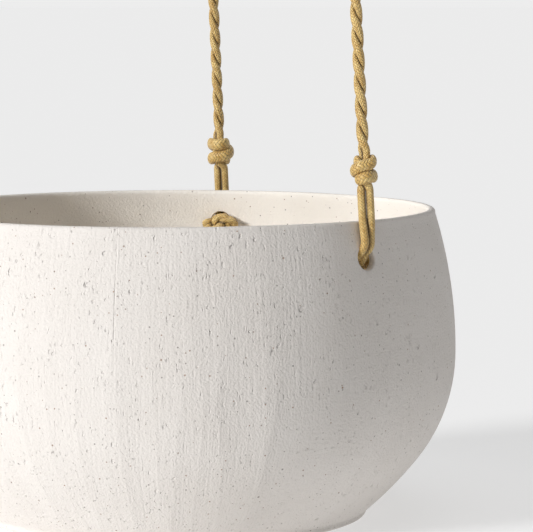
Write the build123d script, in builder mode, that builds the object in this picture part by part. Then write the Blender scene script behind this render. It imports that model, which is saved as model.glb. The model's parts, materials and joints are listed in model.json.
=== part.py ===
from build123d import *
import math
import os

# A round ceramic bowl that hangs from three cords. +Z is up, and the origin is the centre of
# the bowl's flat base. The front of the bowl looks along -Y. Sizes are in millimetres.

os.makedirs("parts", exist_ok=True)

# Bowl
BOWL_HEIGHT = 110.0
RIM_RADIUS = 93.0  # outside of the lip
BELLY_RADIUS = 101.0  # widest point, outside
BELLY_HEIGHT = 58.5
BELLY_CURVE = 60.0  # radius of the round just below the widest point
BELLY_TURN = 39.0  # degrees that this round turns the wall through
FOOT_RADIUS = 67.0  # where the flank meets the flat base
FOOT_ROUND = 1.5
WALL = 2.8
LIP_ROUND = 1.2
LIP_SHARE = 0.45  # of the wall's thickness, the most that each side of the lip is rounded

# Rope holes
HOLE_RADIUS = 3.9
HOLE_BELOW_RIM = 12.3

# Cord, doubled all the way
STRAND_RADIUS = 1.35
STRAND_SPACING = 2.8  # between the centres of two strands side by side
TWIST_RADIUS = 2.0  # the two strands twisted round each other
LEAN_IN = 0.100  # towards the bowl's axis, for each unit of height
LEAN_SIDE = 0.025  # round the bowl, for each unit of height
SEAT_GAP = 0.2  # between a cord and the ceramic that it bears on
SWING_GAP = 0.3  # between a hanging strand and the bend that it swings on

# Knots
KNOT_BAND_RADIUS = 2.75  # each knot shows two rounded bands, one above the other
KNOT_BAND_OFFSET = 1.85  # from the cord's axis to the middle of a band
KNOT_BAND_SPACING = 5.3
KNOT_END_EDGE = 0.05  # flat round the two strands where they enter a knot
STOPPER_RADIUS = 3.6  # the knot inside the bowl is two lobes, side by side
STOPPER_SPACING = 6.6
STOPPER_WAIST = 2.9  # radius of the cord between the two lobes

# Heights above the base where the cord changes form
EYE_KNOT_HEIGHT = 188.0  # underside of the knot that closes the eye

# The eye: sideways and up from the top of its knot, one side of it, from the knot to its crown
EYE_SIDE = [(STRAND_SPACING / 2, 0.0), (STRAND_SPACING / 2, 3.0), (4.9, 9.5), (5.2, 21.5)]
EYE_RADII = [6.0, 10.0, 4.9]

# Each hanger: direction of its hole round the bowl in degrees, height of its knot above the rim
HANGERS = {
    "front": {"azimuth": -48.0, "knot_above_rim": 17.3},
    "back": {"azimuth": 78.5, "knot_above_rim": 14.9},
    "left": {"azimuth": 195.0, "knot_above_rim": 16.2},
}

UP = Vector(0, 0, 1)
hole_height = BOWL_HEIGHT - HOLE_BELOW_RIM
hole_top = hole_height + HOLE_RADIUS
knot_half_height = KNOT_BAND_SPACING / 2 + KNOT_BAND_RADIUS
knot_core_radius = STRAND_SPACING / 2 + STRAND_RADIUS + KNOT_END_EDGE


def wall_radius(height, inset=0.0):
    """Distance from the bowl's axis to its upper wall, or to a surface inset from it."""
    rise = BOWL_HEIGHT - BELLY_HEIGHT
    draw_in = BELLY_RADIUS - RIM_RADIUS
    curve = (rise**2 + draw_in**2) / (2 * draw_in)
    reach = math.sqrt((curve - inset) ** 2 - (height - BELLY_HEIGHT) ** 2)
    return BELLY_RADIUS - curve + math.copysign(reach, curve)


def export(piece, name):
    """Label a finished piece and write its STEP file."""
    piece.part.label = name
    export_step(piece.part, f"parts/{name}.step")


def radial(azimuth):
    """Unit vector from the bowl's axis outwards."""
    return Vector(math.cos(math.radians(azimuth)), math.sin(math.radians(azimuth)), 0)


# Bowl: one turned shell, open at the top, with a narrow rounded lip
with BuildPart() as bowl:
    with BuildSketch(Plane.XZ):
        with BuildLine():
            belly = (BELLY_RADIUS, BELLY_HEIGHT)
            upper = TangentArc(belly, (RIM_RADIUS, BOWL_HEIGHT), tangent=(0, 1))
            lower = JernArc(belly, tangent=(0, -1), radius=BELLY_CURVE, arc_size=-BELLY_TURN)
            flank = TangentArc(lower @ 1, (FOOT_RADIUS, 0), tangent=lower % 1)
            Polyline(flank @ 1, (0, 0), (0, BOWL_HEIGHT), upper @ 1)
        make_face()
    revolve(axis=Axis.Z)
    foot_edge = bowl.edges().filter_by(GeomType.CIRCLE).sort_by(Axis.Z)[0]
    fillet(foot_edge, radius=FOOT_ROUND)
    offset(amount=-WALL, openings=bowl.faces().sort_by(Axis.Z)[-1])
    lip_edges = bowl.edges().filter_by(GeomType.CIRCLE).group_by(Axis.Z)[-1]
    fillet(lip_edges, radius=min(LIP_ROUND, LIP_SHARE * WALL))
    for hanger in HANGERS.values():
        outward = radial(hanger["azimuth"])
        with BuildSketch(Plane(origin=UP * hole_height, z_dir=outward)):
            Circle(HOLE_RADIUS)
        extrude(amount=max(BELLY_RADIUS, RIM_RADIUS), mode=Mode.SUBTRACT)
export(bowl, "bowl")


def make_knot(plane, name):
    """A knot in the doubled cord: two rounded bands round a flat-ended core, along the plane's Z."""
    section = Plane(origin=plane.origin, x_dir=plane.x_dir, z_dir=-plane.y_dir)
    with BuildPart() as knot:
        with BuildSketch(section):
            bands = [(KNOT_BAND_OFFSET, side * KNOT_BAND_SPACING / 2) for side in (-1, 1)]
            with Locations(*bands):
                Circle(KNOT_BAND_RADIUS)
            Rectangle(
                knot_core_radius, 2 * knot_half_height, align=(Align.MIN, Align.CENTER)
            )
            Rectangle(
                2 * KNOT_BAND_RADIUS, 2 * knot_half_height, align=(Align.MAX, Align.CENTER),
                mode=Mode.SUBTRACT,
            )
        revolve(axis=Axis(plane.origin, plane.z_dir))
    export(knot, name)


def make_tube(start_plane, length, radius, name):
    """A straight stretch of cord that starts on a plane and runs square to it."""
    with BuildPart() as tube:
        with BuildSketch(start_plane):
            Circle(radius)
        extrude(amount=length)
    export(tube, name)


def make_hanger(name, azimuth, knot_above_rim):
    """One cord, doubled: knotted inside the bowl, out through its hole and up to its eye."""
    outward = radial(azimuth)
    sideways = UP.cross(outward)
    up = (UP - outward * LEAN_IN + sideways * LEAN_SIDE).normalized()

    # The bend at the hole's mouth, high in the hole, one strand each side of its middle
    half = STRAND_SPACING / 2
    reach = HOLE_RADIUS - SEAT_GAP - STRAND_RADIUS
    bend_height = hole_height + math.sqrt(max(reach**2 - half**2, 0.0))
    clear_radius = wall_radius(hole_top, inset=-(STRAND_RADIUS + SEAT_GAP))
    bend_radius = clear_radius + LEAN_IN * (hole_top - bend_height)
    bend = outward * bend_radius + UP * bend_height
    rope_plane = Plane(origin=bend, x_dir=sideways - up * sideways.dot(up), z_dir=up)

    def along(height):
        """Distance along the rope from the bend to a height above the base."""
        return (height - bend_height) / up.Z

    # Inside the bowl: a stopper knot of two lobes, and the two strands that leave it
    knot_radius = wall_radius(hole_height, inset=WALL + SEAT_GAP + STOPPER_RADIUS)
    stopper = outward * knot_radius + UP * hole_height
    stopper_plane = Plane(origin=stopper, x_dir=sideways, z_dir=outward)
    with BuildPart(stopper_plane) as stopper_knot:
        with Locations((-STOPPER_SPACING / 2, 0, 0), (STOPPER_SPACING / 2, 0, 0)):
            Sphere(STOPPER_RADIUS)
        Cylinder(STOPPER_WAIST, STOPPER_SPACING, rotation=(0, 90, 0))
        for side in (-half, half):
            start = stopper + sideways * side
            end = bend + sideways * side
            with BuildSketch(Plane(origin=start, x_dir=sideways, z_dir=end - start)):
                Circle(STRAND_RADIUS)
            extrude(amount=(end - start).length)
        lift = bend_height - hole_height
        with Locations(*[(side, lift, bend_radius - knot_radius) for side in (-half, half)]):
            Sphere(STRAND_RADIUS)
    export(stopper_knot, f"{name}_stopper_knot")

    # Outside: two strands, left and right as seen from the bowl's axis, up to the knot above the rim
    leg_start = STRAND_RADIUS + SWING_GAP
    knot_middle = along(BOWL_HEIGHT + knot_above_rim)
    leg_length = knot_middle - knot_half_height - leg_start
    for leg, side in (("left_leg", half), ("right_leg", -half)):
        foot = rope_plane.offset(leg_start)
        foot.origin += rope_plane.x_dir * side
        make_tube(foot, leg_length, STRAND_RADIUS, f"{name}_{leg}")
    make_knot(rope_plane.offset(knot_middle), f"{name}_rim_knot")

    # Above: the strands twisted together, the knot that closes the eye, and the eye
    rope_start = knot_middle + knot_half_height
    rope_end = along(EYE_KNOT_HEIGHT)
    make_tube(
        rope_plane.offset(rope_start), rope_end - rope_start, TWIST_RADIUS,
        f"{name}_twisted_rope",
    )
    make_knot(rope_plane.offset(rope_end + knot_half_height), f"{name}_eye_knot")
    eye_base = rope_plane.offset(rope_end + 2 * knot_half_height)
    eye_plane = Plane(origin=eye_base.origin, x_dir=eye_base.x_dir, z_dir=-eye_base.y_dir)
    route = EYE_SIDE + [(-side, rise) for side, rise in reversed(EYE_SIDE)]
    radii = EYE_RADII + list(reversed(EYE_RADII))
    with BuildPart() as eye_loop:
        with BuildLine(eye_plane) as line:
            FilletPolyline(*route, radius=radii)
        path = line.wire()
        with BuildSketch(Plane(origin=path @ 0, z_dir=path % 0)):
            Circle(STRAND_RADIUS)
        sweep(path=path)
    export(eye_loop, f"{name}_eye_loop")

    section = math.pi * STRAND_RADIUS**2
    share = eye_loop.part.volume / (section * path.length)
    print(f"{name}: hinge at {bend}, axis {sideways}")
    print(f"{name}: rope {rope_end - rope_start:.1f} long, legs {leg_length:.1f} long")
    print(f"{name}: eye arcs {radii}, length {path.length:.1f}, volume share {share:.4f}")


for hanger_name, hanger in HANGERS.items():
    make_hanger(hanger_name, **hanger)
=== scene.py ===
import json
import logging
import math
from dataclasses import dataclass, field
from enum import Enum

import bpy
import numpy as np
from bpy.types import Material, Mesh, Node, NodeSocket, NodeTree, Object, Scene
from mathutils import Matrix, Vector


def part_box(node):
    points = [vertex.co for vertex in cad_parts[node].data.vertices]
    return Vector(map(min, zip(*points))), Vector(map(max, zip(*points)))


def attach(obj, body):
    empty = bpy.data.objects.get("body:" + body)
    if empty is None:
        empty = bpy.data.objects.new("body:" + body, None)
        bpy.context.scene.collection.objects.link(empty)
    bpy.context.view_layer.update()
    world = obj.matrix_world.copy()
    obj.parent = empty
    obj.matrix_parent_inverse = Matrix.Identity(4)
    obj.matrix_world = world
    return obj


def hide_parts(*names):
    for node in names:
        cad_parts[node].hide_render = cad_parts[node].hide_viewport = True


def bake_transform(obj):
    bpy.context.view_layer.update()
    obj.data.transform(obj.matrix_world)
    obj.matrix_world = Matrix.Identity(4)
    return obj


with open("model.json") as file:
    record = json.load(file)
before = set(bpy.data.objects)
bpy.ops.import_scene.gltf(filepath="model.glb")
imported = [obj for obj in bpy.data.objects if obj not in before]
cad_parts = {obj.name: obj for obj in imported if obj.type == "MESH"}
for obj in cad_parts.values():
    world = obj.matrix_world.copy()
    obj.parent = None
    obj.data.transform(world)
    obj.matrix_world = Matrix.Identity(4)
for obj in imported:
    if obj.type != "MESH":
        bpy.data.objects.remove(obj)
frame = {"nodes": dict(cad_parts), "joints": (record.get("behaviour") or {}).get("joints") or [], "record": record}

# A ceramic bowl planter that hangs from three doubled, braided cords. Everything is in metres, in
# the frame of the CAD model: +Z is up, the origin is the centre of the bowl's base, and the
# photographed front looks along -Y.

log = logging.getLogger("planter")
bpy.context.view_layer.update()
MM = 0.001
UP = np.array([0.0, 0.0, 1.0])
SOCKETS = {float: "NodeSocketFloat", int: "NodeSocketInt"}


class Surface(Enum):
    """The two ways in which the clay is finished."""

    RAW = "raw clay"
    # The smoothed inside is partly a real finish and partly painted light: its paler colours stand in for the
    # light that bounces round inside the bowl.
    SMOOTHED = "smoothed clay"


class Strand(Enum):
    """The two halves of a doubled cord, named for what they do in its knots."""

    CORE = 0
    WRAP = 1


@dataclass
class Graph:
    """Adds nodes to one node tree, of a shader or of Geometry Nodes, and links them."""

    tree: NodeTree

    def add(self, kind: str, inputs: dict | None = None, **settings: object) -> Node:
        """Adds a node.

        Args:
            kind: the node's type.
            inputs: a value or an output socket for each input that is named.
            settings: the node's own properties.

        Returns:
            The new node.
        """
        node = self.tree.nodes.new(kind)
        for name, value in settings.items():
            setattr(node, name, value)
        for key, value in (inputs or {}).items():
            self.feed(node.inputs[key], value)
        return node

    def feed(self, socket: NodeSocket, value: object) -> None:
        """Links an output to an input socket, or sets the socket's own value.

        Args:
            socket: the input socket.
            value: an output socket, or a plain value.
        """
        if isinstance(value, NodeSocket):
            self.tree.links.new(value, socket)
        else:
            socket.default_value = value

    def math(self, operation: str, *values: object, clamp: bool = False) -> NodeSocket:
        """Adds a Math node.

        Args:
            operation: the node's operation.
            values: its inputs, in order.
            clamp: whether the result is held between 0 and 1.

        Returns:
            The node's output.
        """
        node = self.add("ShaderNodeMath", operation=operation, use_clamp=clamp)
        for socket, value in zip(node.inputs, values):
            self.feed(socket, value)
        return node.outputs[0]

    def vector(self, operation: str, *values: object) -> NodeSocket:
        """Adds a Vector Math node.

        Args:
            operation: the node's operation.
            values: its inputs, in order. A plain number is the scale of SCALE.

        Returns:
            The vector that it puts out.
        """
        node = self.add("ShaderNodeVectorMath", operation=operation)
        sockets = [node.inputs[0], node.inputs["Scale"]] if operation == "SCALE" else node.inputs
        for socket, value in zip(sockets, values):
            self.feed(socket, value)
        return node.outputs["Vector"]

    def combine(self, x: object, y: object, z: object) -> NodeSocket:
        """Joins three numbers into a vector and returns it."""
        return self.add("ShaderNodeCombineXYZ", {"X": x, "Y": y, "Z": z}).outputs[0]

    def group(self, tree: NodeTree, inputs: dict) -> Node:
        """Places a shader node group, feeds the inputs that are named, and returns its node."""
        node = self.tree.nodes.new("ShaderNodeGroup")
        node.node_tree = tree
        for key, value in inputs.items():
            self.feed(node.inputs[key], value)
        return node

    def split(self, vector: NodeSocket) -> list[NodeSocket]:
        """Takes a vector apart and returns its three numbers."""
        return list(self.add("ShaderNodeSeparateXYZ", {"Vector": vector}).outputs)

    def ramp(self, value: object, low: float, high: float, start: float = 0.0,
             end: float = 1.0) -> NodeSocket:
        """Maps a value smoothly from one range to another, and holds it there.

        Args:
            value: the value that is mapped.
            low: where it gives start.
            high: where it gives end.
            start: the result at and below low.
            end: the result at and above high.

        Returns:
            The mapped value.
        """
        inputs = {"Value": value, "From Min": low, "From Max": high, "To Min": start, "To Max": end}
        node = self.add("ShaderNodeMapRange", inputs, interpolation_type="SMOOTHSTEP")
        return node.outputs["Result"]

    def mix(self, factor: object, first: object, second: object, blend: str = "MIX") -> NodeSocket:
        """Mixes two colours.

        Args:
            factor: how much of the second shows.
            first: the first colour.
            second: the second colour.
            blend: how they are mixed.

        Returns:
            The mixed colour.
        """
        node = self.add("ShaderNodeMix", data_type="RGBA", blend_type=blend)
        for key, value in (("Factor_Float", factor), ("A_Color", first), ("B_Color", second)):
            self.feed(next(s for s in node.inputs if s.identifier == key), value)
        return next(s for s in node.outputs if s.identifier == "Result_Color")

    def bump(self, height: object, distance: float, normal: object = None) -> object:
        """Adds a Bump node on top of a normal, or on the plain surface, and returns its normal."""
        inputs = {"Strength": 1.0, "Distance": distance, "Height": height}
        if normal is not None:
            inputs["Normal"] = normal
        return self.add("ShaderNodeBump", inputs).outputs["Normal"]


def tint(red: int, green: int, blue: int) -> tuple[float, float, float, float]:
    """Turns a screen colour, 0 to 255, into the linear colour that a shader takes."""
    def linear(level: int) -> float:
        """Turns one channel of a screen colour into its linear value."""
        share = level / 255
        return share / 12.92 if share <= 0.04045 else ((share + 0.055) / 1.055) ** 2.4
    return linear(red), linear(green), linear(blue), 1.0


def new_tree(name: str, kind: str, inputs: dict, outputs: dict[str, str]) -> tuple:
    """Starts a node group.

    Args:
        name: the group's name.
        kind: ShaderNodeTree or GeometryNodeTree.
        inputs: default value of each input, or the type of a socket without one.
        outputs: socket type of each output.

    Returns:
        The group's Graph, its input sockets by name, and its output node.
    """
    tree = bpy.data.node_groups.new(name, kind)
    for label, value in inputs.items():
        bare = isinstance(value, str)
        socket = tree.interface.new_socket(label, in_out="INPUT",
                                           socket_type=value if bare else SOCKETS[type(value)])
        if not bare:
            socket.default_value = value
    for label, socket_type in outputs.items():
        tree.interface.new_socket(label, in_out="OUTPUT", socket_type=socket_type)
    graph = Graph(tree)
    entry = graph.add("NodeGroupInput")
    return graph, {s.name: s for s in entry.outputs if s.name}, graph.add("NodeGroupOutput")


def new_material(name: str) -> tuple[Material, Graph, Node]:
    """Starts a material, and returns it with its Graph and its shader node."""
    material = bpy.data.materials.new(name)
    material.use_nodes = True
    graph = Graph(material.node_tree)
    return material, graph, graph.tree.nodes["Principled BSDF"]


def dressed(graph: Graph, out: Node, geometry: object, material: object) -> NodeTree:
    """Ends a Geometry Nodes tree with real instances and their material, and returns it."""
    real = graph.add("GeometryNodeRealizeInstances", {"Geometry": geometry})
    node = graph.add("GeometryNodeSetMaterial", {"Geometry": real.outputs[0],
                                                 "Material": material})
    graph.feed(out.inputs[0], node.outputs[0])
    return graph.tree


def plain_mesh(source: Object, name: str) -> Object:
    """Turns an object with live modifiers into a plain mesh object, and removes the object.

    Args:
        source: the object.
        name: the new object's name.

    Returns:
        The new object, linked to the scene.
    """
    depsgraph = bpy.context.evaluated_depsgraph_get()
    mesh = bpy.data.meshes.new_from_object(
        source.evaluated_get(depsgraph), preserve_all_data_layers=True, depsgraph=depsgraph)
    mesh.name = name
    bpy.data.objects.remove(source)
    piece = bpy.data.objects.new(name, mesh)
    bpy.context.scene.collection.objects.link(piece)
    return piece


def grow(piece: Object, tree: NodeTree, values: dict) -> Object:
    """Puts a Geometry Nodes tree on an object and turns the result into a plain mesh.

    Args:
        piece: the object that the tree starts from, which is used up.
        tree: the Geometry Nodes tree.
        values: the tree's inputs by name.

    Returns:
        The new object.
    """
    modifier = piece.modifiers.new(tree.name, "NODES")
    modifier.node_group = tree
    for item in tree.interface.items_tree:
        if item.in_out == "INPUT" and item.name in values:
            modifier[item.identifier] = values[item.name]
    name = piece.name
    piece.name = f"{name}.blank"
    return plain_mesh(piece, name)


def mesh_object(name: str, points: np.ndarray, faces: list | None = None) -> Object:
    """Makes a mesh object from points and faces, or from points alone, and links it."""
    mesh = bpy.data.meshes.new(name)
    mesh.from_pydata([tuple(p) for p in points], [], faces or [])
    piece = bpy.data.objects.new(name, mesh)
    bpy.context.scene.collection.objects.link(piece)
    return piece


def ease(share: np.ndarray | float) -> np.ndarray | float:
    """Goes smoothly from 0 to 1 as its argument does, and stays there outside."""
    held = np.clip(share, 0.0, 1.0)
    return held * held * (3 - 2 * held)


def unit(vectors: np.ndarray) -> np.ndarray:
    """Gives vectors, or one vector, a length of 1."""
    return vectors / np.linalg.norm(vectors, axis=-1, keepdims=True)


def tangents(line: np.ndarray) -> np.ndarray:
    """Gives a line's direction at each of its points."""
    return unit(np.gradient(line, axis=0))


def run_along(line: np.ndarray) -> np.ndarray:
    """Gives the distance along a line of each of its points."""
    return np.concatenate([[0], np.cumsum(np.linalg.norm(np.diff(line, axis=0), axis=1))])


def read_at(line: np.ndarray, run: np.ndarray, places: np.ndarray) -> np.ndarray:
    """Reads a line's points at other places along it."""
    return np.stack([np.interp(places, run, line[:, k]) for k in range(3)], 1)


def arc(centre: tuple | np.ndarray, radius: float, angles: np.ndarray) -> np.ndarray:
    """Gives the points of an arc in a plane, at each of its angles in radians."""
    return np.array(centre) + radius * np.stack([np.cos(angles), np.sin(angles)], 1)


def spaced(points: np.ndarray, spacing: float) -> np.ndarray:
    """Spaces points evenly along the line through them.

    Args:
        points: the line's points.
        spacing: the distance that they are to have, about.

    Returns:
        The new points.
    """
    run = run_along(points)
    count = max(int(round(run[-1] / spacing)) + 1, 4)
    return read_at(points, run, np.linspace(0, run[-1], count))


def softened(points: np.ndarray, passes: int, share: float = 0.4) -> np.ndarray:
    """Rounds a line by moving each point towards the middle of its neighbours.

    Args:
        points: the line's points.
        passes: how often this is done.
        share: how far a point moves each time.

    Returns:
        The new points.
    """
    line = points.copy()
    for _ in range(passes):
        line[1:-1] += share * ((line[:-2] + line[2:]) / 2 - line[1:-1])
    return line


def route_points(control: list, samples: int = 48) -> np.ndarray:
    """Lays a smooth NURBS spline through a route and reads its points.

    Args:
        control: the route's points, which are the spline's control points.
        samples: points between two control points.

    Returns:
        The points along the spline.
    """
    curve = bpy.data.curves.new("route", "CURVE")
    curve.dimensions = "3D"
    spline = curve.splines.new("NURBS")
    spline.points.add(len(control) - 1)
    for point, place in zip(spline.points, control):
        point.co = (*place, 1.0)
    spline.order_u = 3
    spline.use_endpoint_u = True
    spline.resolution_u = samples
    guide = bpy.data.objects.new("route", curve)
    bpy.context.scene.collection.objects.link(guide)
    line = bpy.data.meshes.new_from_object(guide)
    points = np.array([v.co for v in line.vertices])
    bpy.data.objects.remove(guide)
    bpy.data.meshes.remove(line)
    return points


@dataclass
class KnotTier:
    """Pulls strands that are laid loosely in a knot tight, a little at a time.

    Lengths are in diameters of the cord. A strand never passes through another or itself.
    """

    contact: float = 0.85  # between the middles of two strands that touch
    stiffness: float = 0.05
    shrink: float = 0.9965  # of a strand's length, each time that it gives
    tension: float = 1.05  # stretch at which it is pulled no tighter
    press: float = 0.0008  # how far the knot is pushed together each time
    reach: float = 3.4  # how far along its axis the knot is pushed together
    spacing: float = 0.38
    passes: int = 1100
    still: int = 300  # passes before it is pushed together
    push: float = 0.35
    longest_push: float = 0.11
    free: float = 1.3  # stretch of one strand that doesn't touch itself
    first_angle: float = 210.0  # degrees round the axis, of the first run down the middle
    last_angle: float = 330.0  # and of the last one
    run_reach: float = 1.6  # where these runs start and end, in half heights of the knot
    turn_reach: float = 1.15  # the same for the turns
    run_points: int = 8
    turn_points: int = 24
    fine: float = 0.18  # spacing while two strands are laid side by side
    fine_passes: int = 150
    laid_passes: int = 60
    link_passes: int = 4
    push_passes: int = 2
    outside: float = 0.55  # further from the axis than this, a strand is pushed inwards too

    def lay(self, turns: float, core: float, wrap: float, half: float, end: float) -> np.ndarray:
        """Lays one strand loosely: down the middle, back up in turns, and down the middle again.

        Args:
            turns: how often it goes round.
            core: how far its middle runs lie from the knot's axis.
            wrap: radius of its turns.
            half: half of the knot's height.
            end: how far above and below the knot it ends.

        Returns:
            The strand's points.
        """
        first, last = math.radians(self.first_angle), math.radians(self.last_angle)
        down = [[core * math.cos(first), core * math.sin(first), z]
                for z in np.linspace(self.run_reach * half, -half, self.run_points)]
        steps = int(self.turn_points * turns) + 1
        angles = first + 2 * math.pi * turns * np.linspace(0, 1, steps)
        heights = np.linspace(-self.turn_reach * half, self.turn_reach * half, steps)
        around = [[wrap * math.cos(a), wrap * math.sin(a), z] for a, z in zip(angles, heights)]
        out = [[core * math.cos(last), core * math.sin(last), z]
               for z in np.linspace(half, -self.run_reach * half, self.run_points)]
        return np.array([[-0.5, 0, end], *down, *around, *out, [0.5, 0, -end]], float)

    def double(self, line: np.ndarray) -> list[np.ndarray]:
        """Lays two strands side by side along a line, without twisting them round each other."""
        line = spaced(softened(spaced(line, self.fine), self.fine_passes), self.fine)
        across = carried(line, np.array([1.0, 0, 0]))
        end = math.atan2(across[-1][1], across[-1][0])
        turn = -end * np.linspace(0, 1, len(line))
        other = np.cross(tangents(line), across)
        across = across * np.cos(turn)[:, None] + other * np.sin(turn)[:, None]
        return [line + across * 0.5, line - across * 0.5]

    def tighten(self, strands: list[np.ndarray], pulled: list[bool]) -> list[np.ndarray]:
        """Pulls the strands tight.

        Args:
            strands: the points of each strand.
            pulled: which of them are pulled, while the others stay as long as they are.

        Returns:
            The points of each strand in the tight knot.
        """
        laid = [spaced(softened(spaced(s, self.spacing / 2), self.laid_passes), self.spacing)
                for s in strands]
        ends = np.cumsum([0, *[len(s) for s in laid]])
        parts = [slice(a, b) for a, b in zip(ends, ends[1:])]
        link = np.array([np.linalg.norm(np.diff(s, axis=0), axis=1).mean() for s in laid])
        points = np.concatenate(laid)
        owner = np.repeat(range(len(laid)), [len(s) for s in laid])
        fixed = np.array([i for p in parts for i in (p.start, p.stop - 1)])
        held = points[fixed].copy()
        moving = np.array(pulled)[owner]
        one, two = np.triu_indices(len(points), 1)
        same = owner[one] == owner[two]
        steps = np.where(same, two - one, 0)
        for turn in range(self.passes):
            for part, length in zip(parts, link):
                line = points[part]
                line[1:-1] += self.stiffness * ((line[:-2] + line[2:]) / 2 - line[1:-1])
                for _ in range(self.link_passes):
                    self._keep_length(line, length)
            points[fixed] = held
            apart = np.where(same, steps * link[owner[one]], 99.0) > self.free
            for _ in range(self.push_passes):
                gap = points[one] - points[two]
                size = np.linalg.norm(gap, axis=1)
                hit = (size < self.contact) & apart
                share = self.push * (self.contact - size[hit]) / np.maximum(size[hit], 1e-6)
                move = gap[hit] * share[:, None]
                shift = np.zeros_like(points)
                touched = np.zeros(len(points))
                for index, sign in ((one[hit], 1), (two[hit], -1)):
                    np.add.at(shift, index, sign * move)
                    np.add.at(touched, index, 1)
                shift /= np.sqrt(np.maximum(touched, 1))[:, None]
                size = np.linalg.norm(shift, axis=1)
                shift *= np.minimum(1, self.longest_push / np.maximum(size, 1e-9))[:, None]
                points += shift
                if turn > self.still:
                    near = (np.abs(points[:, 2]) < self.reach) & moving
                    points[near, 2] *= 1 - self.press
                    near &= np.hypot(*points[:, :2].T) > self.outside
                    points[near, :2] *= 1 - self.press / 2
                points[fixed] = held
            for k, part in enumerate(parts):
                size = np.linalg.norm(np.diff(points[part], axis=0), axis=1).mean()
                if pulled[k] and size / link[k] < self.tension:
                    link[k] *= self.shrink
        return [points[part] for part in parts]

    @staticmethod
    def _keep_length(line: np.ndarray, length: float) -> None:
        """Moves neighbours on a line until they are a given length apart, in two turns."""
        for start in (0, 1):
            count = (len(line) - start) // 2
            near = line[start:start + 2 * count:2]
            far = line[start + 1:start + 1 + 2 * count:2]
            gap = far - near
            size = np.linalg.norm(gap, axis=1)[:, None]
            give = gap * (0.5 - 0.5 * length / np.maximum(size, 1e-9))
            near += give
            far -= give


def carried(line: np.ndarray, start: np.ndarray) -> np.ndarray:
    """Carries a direction along a line, square to it, without turning it round the line.

    Args:
        line: the line's points.
        start: the direction at its first point.

    Returns:
        The direction at each point.
    """
    directions = np.zeros_like(line)
    current = start
    for k, tangent in enumerate(tangents(line)):
        current = current - tangent * (current @ tangent)
        current = current / np.linalg.norm(current)
        directions[k] = current
    return directions


def touches(line: np.ndarray, run: np.ndarray, diameter: float, skipped: float = 1.6,
            near: float = 1.3, fade: float = 0.4) -> list[np.ndarray]:
    """Finds where a cord lies against itself, apart from the stretch next to each point.

    Args:
        line: its points.
        run: the distance along it of each point.
        diameter: its diameter.
        skipped: how far along it, in diameters, nothing counts as touching a point.
        near: distance between two middles, in diameters, at which touching sets in.
        fade: how much closer they are where it is complete.

    Returns:
        Two arrays of directions, one towards what is nearest to each point and one towards what
        is nearest on its other side. They are shorter the less it touches, down to nothing.
    """
    gap = line[None, :, :] - line[:, None, :]
    size = np.linalg.norm(gap, axis=2)
    size[np.abs(run[:, None] - run[None, :]) < skipped * diameter] = np.inf
    result = []
    rows = np.arange(len(line))
    for _ in range(2):
        nearest = size.argmin(axis=1)
        distance = size[rows, nearest]
        towards = gap[rows, nearest] / np.where(np.isinf(distance), 1.0, distance)[:, None]
        share = ease((near * diameter - distance) / (fade * diameter))
        result.append(towards * share[:, None])
        size[np.einsum("ijk,ik->ij", gap, towards) > 0] = np.inf
    return result


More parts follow.
